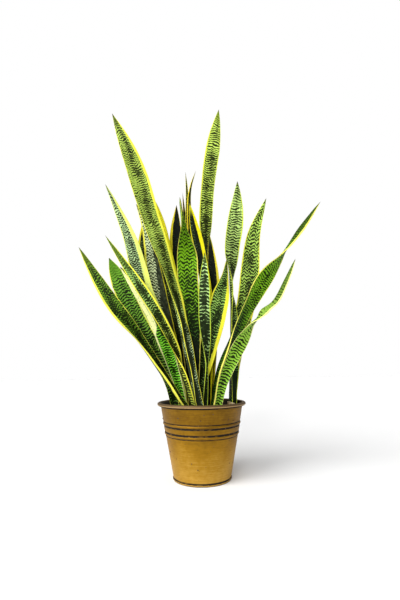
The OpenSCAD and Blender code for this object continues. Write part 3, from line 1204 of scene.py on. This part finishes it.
@dataclass
class Pot:
    """The sheet metal pot. Heights and sizes are in millimetres."""

    base_d: float = 117.0
    sheet: float = 1.0
    roll_d: float = 7.0
    upper_bead: float = 115.0
    lower_bead: float = 94.5
    bead_out: float = 1.6
    bead_half: float = 3.0
    groove_in: float = 0.5
    groove_run: float = 1.5
    band_out: float = 0.7
    foot_h: float = 4.5
    around: int = 220
    height: float = field(init=False)
    rim_r: float = field(init=False)
    roll_z: float = field(init=False)
    lean: float = field(init=False)

    def __post_init__(self) -> None:
        """Reads the height and the rim's radius from the frame."""
        low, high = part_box("pot_wall")
        self.height = high.z / MM
        self.rim_r = (high.x - low.x) / 2 / MM
        self.roll_z = self.height - self.roll_d / 2
        top_r = self.rim_r - self.roll_d + self.sheet
        self.lean = (top_r - self.base_d / 2) / self.roll_z

    def cone_r(self, z: float) -> float:
        """Outer radius of the plain cone at a height."""
        return self.base_d / 2 + self.lean * z

    def bead(self, away: float) -> float:
        """How far the wall stands out at a distance from a bead's middle."""
        groove = abs(away) - self.bead_half
        if groove < 0:
            return self.bead_out * math.cos(math.pi / 2 * abs(away) / self.bead_half)
        if groove < self.groove_run:
            return -self.groove_in * math.sin(math.pi * groove / self.groove_run)
        return 0.0

    def wall_r(self, z: float) -> float:
        """Outer radius of the wall at a height."""
        band = 0.0
        if self.lower_bead < z < self.upper_bead:
            share = (z - self.lower_bead) / (self.upper_bead - self.lower_bead)
            band = self.band_out * math.sin(math.pi * share)
        beads = self.bead(z - self.upper_bead) + self.bead(z - self.lower_bead)
        return self.cone_r(z) + beads + band

    def heights(self) -> list[float]:
        """Heights of the outline's points, close together on the beads."""
        reach = 2 * self.bead_half
        low, high = self.lower_bead - reach, self.upper_bead + reach
        plain = list(np.linspace(1.0, low, 30)[:-1])
        beaded = list(np.linspace(low, high, 84))
        upper = list(np.linspace(high, self.roll_z - 2.6, 16)[1:])
        return plain + beaded + upper

    def wall_outline(self) -> tuple[Outline, int]:
        """Outline of the wall with its rolled rim.

        Returns:
            The closed outline in metres, and how many of its points are on
            the painted outside.
        """
        heights, radius = self.heights(), self.roll_d / 2
        outer = [(self.wall_r(z), z) for z in heights]
        rolled = [
            (
                self.rim_r - radius + radius * math.cos(angle),
                self.roll_z + radius * math.sin(angle),
            )
            for angle in np.radians(np.linspace(-140, 160, 33))
        ]
        inner = [
            (self.wall_r(z) - self.sheet, z)
            for z in reversed(heights)
            if z < rolled[-1][1]
        ]
        outline = [(r * MM, z * MM) for r, z in outer + rolled + inner]
        return outline, len(outer) + len(rolled)

    def wall(self) -> None:
        """Builds the wall, painted outside and bare inside."""
        outline, painted = self.wall_outline()
        dents = waves(11, 0.14 * MM, 9, 7, 60.0)
        sway = waves(5, 0.09 * MM, 5, 5, 10.0)

        def shift(angle: float, z: float) -> float:
            """Slight dents, which fade out towards the foot and the rim."""
            calm = min(1.0, max(0.0, (z / MM - 6) / 20))
            calm *= min(1.0, max(0.0, (self.height - 6 - z / MM) / 20))
            dent = ripple(angle, z, dents) * calm
            dent = max(min(dent, 0.25 * MM), -0.35 * MM)
            return dent + ripple(angle, 0.0, sway) * 0.3

        mesh = smooth(turned("pot_wall_skin", outline, self.around, shift))
        inside = [int(f.index % len(outline) >= painted - 1) for f in mesh.polygons]
        # dark rings painted as shade beside the beads, under the roll and over the foot
        gold = AntiqueGold(
            painted_shade_lines=(
                (self.upper_bead + 3.8, 1.3),
                (self.upper_bead - 3.8, 2.6),
                (self.lower_bead + 3.9, 2.6),
                (self.lower_bead - 3.7, 1.2),
                (self.height - 7.1, 2.2),
                (self.foot_h + 0.9, 2.0),
            )
        )
        # the inner wall's dark brown steel is painted shade inside the pot
        steel = BareSteel(metal=tint(54, 46, 34), stain=tint(26, 20, 14))
        skins = [gold.material("antique_gold_wall"), steel.material("bare_inner_wall")]
        piece = new_piece("sheet_wall", mesh, skins, ("pot_wall",))
        piece.data.polygons.foreach_set("material_index", inside)

    def foot(self) -> None:
        """Builds the crimped hoop round the foot."""
        t, top, outer = self.sheet, self.foot_h, self.cone_r
        bulge = [
            (outer(z) + t * (1.0 + 0.35 * math.sin(math.pi * z / top)), z)
            for z in np.linspace(0.5, top - 0.4, 12)
        ]
        outline = [
            (outer(0) - 2.6 * t, 0.0),
            (outer(0) + 0.2 * t, 0.0),
            (outer(0) + 0.7 * t, 0.12),
            *bulge,
            (outer(top) + 0.6 * t, top),
            (outer(top) + 0.05, top),
            (outer(1) + 0.02, 1.05),
            (outer(1) - 2 * t, 1.05),
            (outer(top) - 2 * t, top),
            (outer(top) - 2.7 * t, top),
            (outer(1) - 3 * t, 0.5),
        ]
        outline = [(r * MM, z * MM) for r, z in outline]
        mesh = smooth(turned("foot_hoop_skin", outline, self.around))
        # dark rings painted as shade over the hoop's seam and along its bottom edge
        gold = AntiqueGold(
            gold=tint(150, 116, 56), seed=8.0, painted_shade_lines=((top + 0.3, 1.6), (0.0, 1.8))
        )
        skin = gold.material("antique_gold_foot")
        new_piece("crimped_foot", mesh, [skin], ("foot_hoop",))

    def build(self) -> None:
        """Builds the pot and dresses the frame's own parts of it."""
        self.wall()
        self.foot()
        # dark rings painted as shade beside the seam's beads
        painted_shade_lines = (
            (self.upper_bead + 3.6, 0.9),
            (self.upper_bead - 3.6, 1.7),
            (self.lower_bead + 3.7, 1.7),
        )
        seam = AntiqueGold(seed=5.0, painted_shade_lines=painted_shade_lines)
        steel = BareSteel().material("plain_steel")
        dress("wall_seam", seam.material("antique_gold_seam"))
        dress("rim_wire", steel)
        dress("base_plate", steel)


# ---------------------------------------------------------------------- soil


@dataclass(frozen=True)
class Crumbs:
    """One kind of crumb strewn over the mix."""

    name: str
    density: float
    size: float
    seed: int
    finish: PottingMix


CRUMBS = (
    Crumbs("peat_crumbs", 46000.0, 1.5 * MM, 4, PottingMix()),
    Crumbs(
        "bark_chips",
        9000.0,
        2.6 * MM,
        9,
        PottingMix(dark=tint(44, 28, 18), light=tint(104, 76, 50), lumps=0.3),
    ),
)


@dataclass
class Bed:
    """The potting mix with its crumbs, and the stem buried in it.

    Heights and sizes are in millimetres; lumps are waves of (height, radians a
    metre along X and along Y, phase).
    """

    pot: Pot
    drop: float = 10.0
    fall: float = 3.0
    fall_r: float = 82.0
    under: float = 7.0
    wall_gap: float = 1.6
    rings: int = 70
    around: int = 200
    lumps: tuple[tuple[float, ...], ...] = (
        (1.1, 95, 80, 0.4),
        (0.8, 210, 170, 1.9),
        (0.55, 420, 380, 3.1),
        (0.35, 900, 810, 0.8),
    )

    def surface_z(self, x: float, y: float) -> float:
        """Height of the lumpy surface in metres."""
        far = math.hypot(x, y) / (self.fall_r * MM)
        top = (self.pot.height - self.drop - self.fall * far) * MM
        rough = sum(
            size * math.sin(fx * x + phase) * math.cos(fy * y - phase * 1.7)
            for size, fx, fy, phase in self.lumps
        )
        return top + rough * MM * 0.9

    def ground(self) -> bpy.types.Mesh:
        """Builds the closed body of the mix with its uneven top."""
        edge = self.pot.height - self.drop - self.fall
        low_r = (self.pot.cone_r(self.under) - self.wall_gap) * MM
        top_r = (self.pot.cone_r(edge) - self.wall_gap) * MM
        angles = [TURN * k / self.around for k in range(self.around)]
        points: list[Point] = []
        for i in range(1, self.rings + 1):
            r = top_r * (i / self.rings)
            for angle in angles:
                x, y = r * math.cos(angle), r * math.sin(angle)
                points.append((x, y, self.surface_z(x, y)))
        low = self.under * MM
        points += [(low_r * math.cos(a), low_r * math.sin(a), low) for a in angles]
        centre, under = len(points), len(points) + 1
        points += [(0.0, 0.0, self.surface_z(0, 0)), (0.0, 0.0, low)]
        n, last, faces = self.around, self.rings * self.around, []
        for i in range(0, last, n):
            for k in range(n):
                j = (k + 1) % n
                faces.append((i + k, i + n + k, i + n + j, i + j))
        for k in range(n):
            j = (k + 1) % n
            faces.append((centre, k, j))
            faces.append((under, last + j, last + k))
        mesh = bpy.data.meshes.new("potting_mix")
        mesh.from_pydata(points, [], faces)
        return smooth(mesh)

    def scatter(self) -> GeometryTree:
        """Builds the tree that strews crumbs over the surface."""
        tree = GeometryTree.start(
            "strewn_crumbs",
            {"Density": "Float", "Crumb Size": "Float", "Seed": "Int", "Crumb": "Material"},
        )
        bench = tree.bench
        given = bench.add("NodeGroupInput")
        seed = given.of("Seed")
        normal = bench.add("GeometryNodeInputNormal")
        upward = bench.add("ShaderNodeSeparateXYZ", inputs={0: normal}, out="Z")
        spots = bench.add(
            "GeometryNodeDistributePointsOnFaces",
            {"distribute_method": "RANDOM"},
            {
                "Mesh": given,
                "Selection": upward.math("GREATER_THAN", 0.4),
                "Density": given.of("Density"),
                "Seed": seed,
            },
        )
        crumb = bench.add(
            "GeometryNodeMeshIcoSphere", inputs={"Radius": 1.0, "Subdivisions": 2}
        )
        rough = bench.noise(bench.add("GeometryNodeInputPosition"), 1.6, 1.0, "Color")
        pushed = bench.vectors("SUBTRACT", {0: rough, 1: (0.5, 0.5, 0.5)})
        lumpy = bench.add(
            "GeometryNodeSetPosition", inputs={"Geometry": crumb, "Offset": pushed}
        )

        def chance(low: Point, high: Point, salt: Any) -> Signal:
            """A random vector for each crumb."""
            return bench.add(
                "FunctionNodeRandomValue",
                {"data_type": "FLOAT_VECTOR"},
                {"Min": low, "Max": high, "Seed": salt},
            )

        spin = chance((0, 0, 0), (6.28, 6.28, 6.28), seed)
        size = chance((0.3, 0.3, 0.15), (1.3, 1.0, 0.6), seed + 5)
        size = bench.scaled(size, given.of("Crumb Size"))
        strewn = bench.add(
            "GeometryNodeInstanceOnPoints",
            inputs={"Points": spots, "Instance": lumpy, "Rotation": spin, "Scale": size},
        )
        tree.finish(strewn, given.of("Crumb"))
        return tree

    def build(self) -> None:
        """Builds the bed and dresses the buried stem."""
        ground, tree = self.ground(), self.scatter()
        for kind in CRUMBS:
            material = kind.finish.material(kind.name)
            values = {
                "Density": kind.density,
                "Crumb Size": kind.size,
                "Seed": kind.seed,
                "Crumb": material,
            }
            mesh = tree.run(kind.name, ground.copy(), values)
            new_piece(kind.name, mesh, [material])
        mix = PottingMix(dark=tint(16, 12, 9), light=tint(48, 36, 28))
        skin = mix.material("potting_mix")
        new_piece("potting_mix", ground, [skin], ("soil",))
        dress("rhizome", DryFibre(pale=tint(190, 128, 66)).material("fibrous_stem"))


@dataclass
class Sheath:
    """The dry papery sheath at the foot of a leaf.

    It curls round a point at x and y. Sizes are in millimetres and angles in
    degrees; across and up are its faces.
    """

    x: float = 65.0
    y: float = 9.0
    radius: float = 10.7
    paper: float = 0.35
    start: float = 186.0
    sweep: float = 103.0
    across: int = 30
    up: int = 14
    seed: int = 21

    def skins(self) -> list[Point]:
        """Points of the inner skin and then of the outer one."""
        low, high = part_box("dry_sheath")
        rng = np.random.default_rng(self.seed)
        ragged = [rng.uniform(-0.7, 0.7) for _ in range(self.across + 1)]
        points = []
        for skin in (0, 1):
            for i in range(self.across + 1):
                share = i / self.across
                angle = math.radians(self.start + self.sweep * share)
                peak = 0.42 + 0.58 * (1 - abs(share - 0.25) / 0.75)
                tall = (high.z - low.z) * (0.35 + 0.6 * peak) + ragged[i] * 0.6 * MM
                for k in range(self.up + 1):
                    v = k / self.up
                    curl = 0.35 * math.sin(5 * share + 3 * v) + 0.4 * v * v
                    r = (self.radius + self.paper * skin + curl * 0.5) * MM
                    x = self.x * MM + r * math.cos(angle)
                    y = self.y * MM + r * math.sin(angle)
                    points.append((x, y, min(low.z + tall * v, high.z)))
        return points

    def build(self) -> None:
        """Joins the two skins along their edges and links the sheath."""
        row, columns = self.up + 1, self.across + 1
        size, faces = columns * row, []
        for i in range(self.across):
            for k in range(self.up):
                a = i * row + k
                quad = (a, a + row, a + row + 1, a + 1)
                faces.append(quad[::-1])
                faces.append(tuple(corner + size for corner in quad))
        borders = (
            [i * row for i in range(columns)],
            [i * row + self.up for i in range(columns)],
            list(range(row)),
            [self.across * row + k for k in range(row)],
        )
        for border in borders:
            for a, b in zip(border, border[1:]):
                faces.append((a, b, b + size, a + size))
        mesh = smooth(closed("papery_sheath", self.skins(), faces))
        skin = DryFibre().material("papery_sheath")
        new_piece("papery_sheath", mesh, [skin], ("dry_sheath",))


# -------------------------------------------------------------------- studio


@dataclass
class Studio:
    """Camera, lights and floor. Lengths are in metres."""

    distance: float = 0.667
    eye: float = 0.216
    lens: float = 19.44
    roll: float = -0.0122
    shift_x: float = -0.0019
    shift_y: float = 0.121
    ambient: float = 0.44
    aim: Point = (0.0, 0.0, 0.25)
    floor_half: float = 12.0

    def camera(self) -> None:
        """Sets the camera level in front of the plant."""
        data = bpy.data.cameras.new("view")
        data.sensor_fit = "AUTO"
        data.sensor_width = 36.0
        data.lens = self.lens
        data.shift_x, data.shift_y = self.shift_x, self.shift_y
        data.clip_start, data.clip_end = 0.01, 60.0
        camera = link("view", data)
        camera.matrix_world = (
            Matrix.Translation((0.0, -self.distance, self.eye))
            @ Matrix.Rotation(math.pi / 2, 4, "X")
            @ Matrix.Rotation(self.roll, 4, "Z")
        )
        bpy.context.scene.camera = camera

    def lamp(self, name: str, spot: Point, size: float, power: float) -> None:
        """Adds a soft square lamp that points at the plant.

        Args:
            name: Its name.
            spot: Where it stands.
            size: Its side.
            power: Its power in watts.
        """
        data = bpy.data.lights.new(name, "AREA")
        data.size = size
        data.energy = power
        heading = (Vector(self.aim) - Vector(spot)).to_track_quat("-Z", "Y")
        turn = heading.to_matrix().to_4x4()
        link(name, data).matrix_world = Matrix.Translation(spot) @ turn

    def sun(
        self, name: str, azimuth: float, height: float, softness: float, power: float
    ) -> None:
        """Adds a broad light that lights the floor evenly.

        Args:
            name: Its name.
            azimuth: Where it comes from, in degrees left of the front.
            height: Its height in degrees over the floor.
            softness: Its width in degrees.
            power: Its strength.
        """
        data = bpy.data.lights.new(name, "SUN")
        data.angle = math.radians(softness)
        data.energy = power
        side, up = math.radians(azimuth), math.radians(height)
        source = Vector(
            (-math.sin(side) * math.cos(up), -math.cos(side) * math.cos(up), math.sin(up))
        )
        turn = source.to_track_quat("Z", "Y").to_matrix().to_4x4()
        link(name, data).matrix_world = turn

    def world(self) -> None:
        """Lights the room evenly; it is seen as plain white."""
        world = bpy.data.worlds.new("room")
        world.use_nodes = True
        world.node_tree.nodes.clear()
        bench = Bench(world.node_tree)
        seen = bench.add("ShaderNodeLightPath", out="Is Camera Ray")
        strength = self.ambient + seen * (1.0 - self.ambient)
        shade = bench.add(
            "ShaderNodeBackground", inputs={"Color": (1, 1, 1), "Strength": strength}
        )
        bench.add("ShaderNodeOutputWorld", inputs={"Surface": shade})
        bpy.context.scene.world = world

    def floor(self) -> None:
        """Lays the plain pale floor."""
        half = self.floor_half
        corners = [(-half, -half, 0), (half, -half, 0), (half, half, 0), (-half, half, 0)]
        mesh = bpy.data.meshes.new("floor")
        mesh.from_pydata(corners, [], [(0, 1, 2, 3)])
        material, bench = new_material("pale_floor", (0.9, 0.9, 0.9))
        point, _ = bench.place()
        cloud = bench.noise(point, 0.002, 2)
        bench.surface(
            {
                "Base Color": bench.blend(cloud, (0.93, 0.93, 0.93), (0.95, 0.95, 0.95)),
                "Roughness": 0.9,
                "Specular IOR Level": 0.1,
            }
        )
        mesh.materials.append(material)
        link("floor", mesh)

    def build(self) -> None:
        """Sets up the whole studio."""
        self.camera()
        self.floor()
        self.world()
        self.sun("key", azimuth=50, height=40, softness=36, power=2.3)
        self.sun("low", azimuth=16, height=23, softness=24, power=1.5)
        self.lamp("side", spot=(-1.5, -0.5, 0.7), size=0.7, power=7.0)
        view = bpy.context.scene.view_settings
        view.view_transform = "Standard"
        view.look = "None"


def plain(box: Any) -> list[list[float]]:
    """A box as plain lists of numbers."""
    return [[float(c) for c in corner] for corner in box]


def main() -> None:
    """Builds the object and its studio in order."""
    logging.basicConfig(level=logging.INFO, format="%(message)s")
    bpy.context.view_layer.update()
    Studio().build()
    pot = Pot()
    pot.build()
    Bed(pot).build()
    Sheath().build()
    Foliage().build()


if __name__ == "__main__":
    main()
